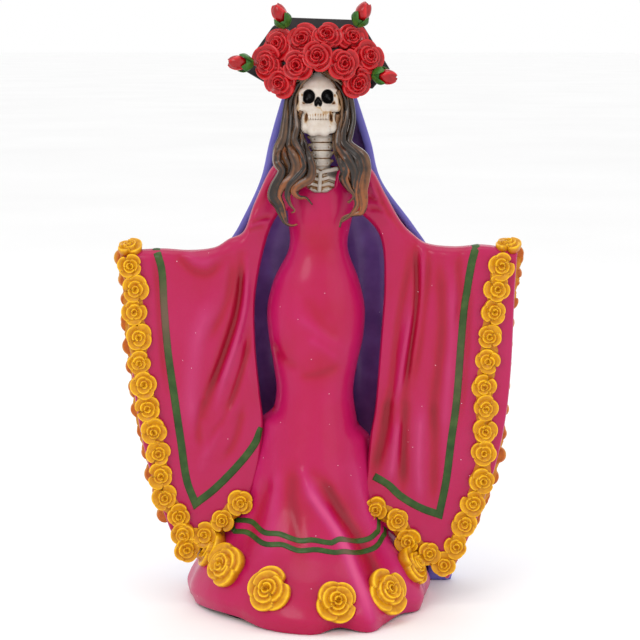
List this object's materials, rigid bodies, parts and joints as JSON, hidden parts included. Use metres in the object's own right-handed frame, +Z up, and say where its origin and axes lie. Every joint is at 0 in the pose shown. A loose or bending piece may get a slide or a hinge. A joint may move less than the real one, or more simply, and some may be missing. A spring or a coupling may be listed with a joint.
{
  "type": "papier-mache catrina figure",
  "caption": "Standing skeleton lady in a long flared dress with wide hanging sleeves, a cape and a flower-covered hat, as pasted-paper shells over a core.",
  "frame": {"origin": "centre of the whole figure's box, at the underside of the hem and the base pad, where the figure stands", "axes": "+Z up through the hat, -Y the way the figure faces, +X towards the figure's left hand"},
  "size_m": [0.2027, 0.1326, 0.3005],
  "materials": {
    "felt": "black felt",
    "board": "plain sawn board",
    "wire": "steel rod and wire",
    "core_paper": "pasted paper",
    "dress_paint": "magenta satin paint on pasted paper",
    "ribbon_paint": "dark green satin paint on pasted paper",
    "marigold_paint": "marigold yellow satin paint with orange in the folds",
    "cape_paint": "violet satin paint, dark purple on the inside",
    "bone_paint": "bone white paint with a brown wash in the hollows",
    "hair_paint": "brown paint dry-brushed with bronze, glossy",
    "hat_paint": "charcoal satin paint",
    "leaf_paint": "leaf green satin paint",
    "red_paint": "glossy red paint"
  },
  "bodies": {
    "root": {"armature_post": "wire", "base_board": "board", "base_pad": "felt", "bud_sepals_1": "leaf_paint", "bud_sepals_2": "leaf_paint", "bud_sepals_3": "leaf_paint", "bud_sepals_4": "leaf_paint", "cape": "cape_paint", "dress": "dress_paint", "hat_brim": "hat_paint", "hat_crown": "hat_paint", "hem_rose_1": "marigold_paint", "hem_rose_2": "marigold_paint", "hem_rose_3": "marigold_paint", "hem_rose_4": "marigold_paint", "hem_rose_5": "marigold_paint", "hem_rose_6": "marigold_paint", "jaw": "bone_paint", "left_arm_wire": "wire", "left_front_garland": "marigold_paint", "left_hair": "hair_paint", "left_rear_garland": "marigold_paint", "left_sleeve": "dress_paint", "left_sleeve_ribbon": "ribbon_paint", "lower_skirt_ribbon": "ribbon_paint", "neck_vertebra_1": "bone_paint", "neck_vertebra_2": "bone_paint", "neck_vertebra_3": "bone_paint", "neck_vertebra_4": "bone_paint", "paper_core": "core_paper", "red_rose_01": "red_paint", "red_rose_02": "red_paint", "red_rose_03": "red_paint", "red_rose_04": "red_paint", "red_rose_05": "red_paint", "red_rose_06": "red_paint", "red_rose_07": "red_paint", "red_rose_08": "red_paint", "red_rose_09": "red_paint", "red_rose_10": "red_paint", "red_rose_11": "red_paint", "ribcage": "bone_paint", "right_arm_wire": "wire", "right_front_garland": "marigold_paint", "right_hair": "hair_paint", "right_rear_garland": "marigold_paint", "right_sleeve": "dress_paint", "right_sleeve_ribbon": "ribbon_paint", "rosebud_1": "red_paint", "rosebud_2": "red_paint", "rosebud_3": "red_paint", "rosebud_4": "red_paint", "skirt_flounce": "dress_paint", "skull": "bone_paint", "upper_skirt_ribbon": "ribbon_paint"}
  },
  "joints": []
}
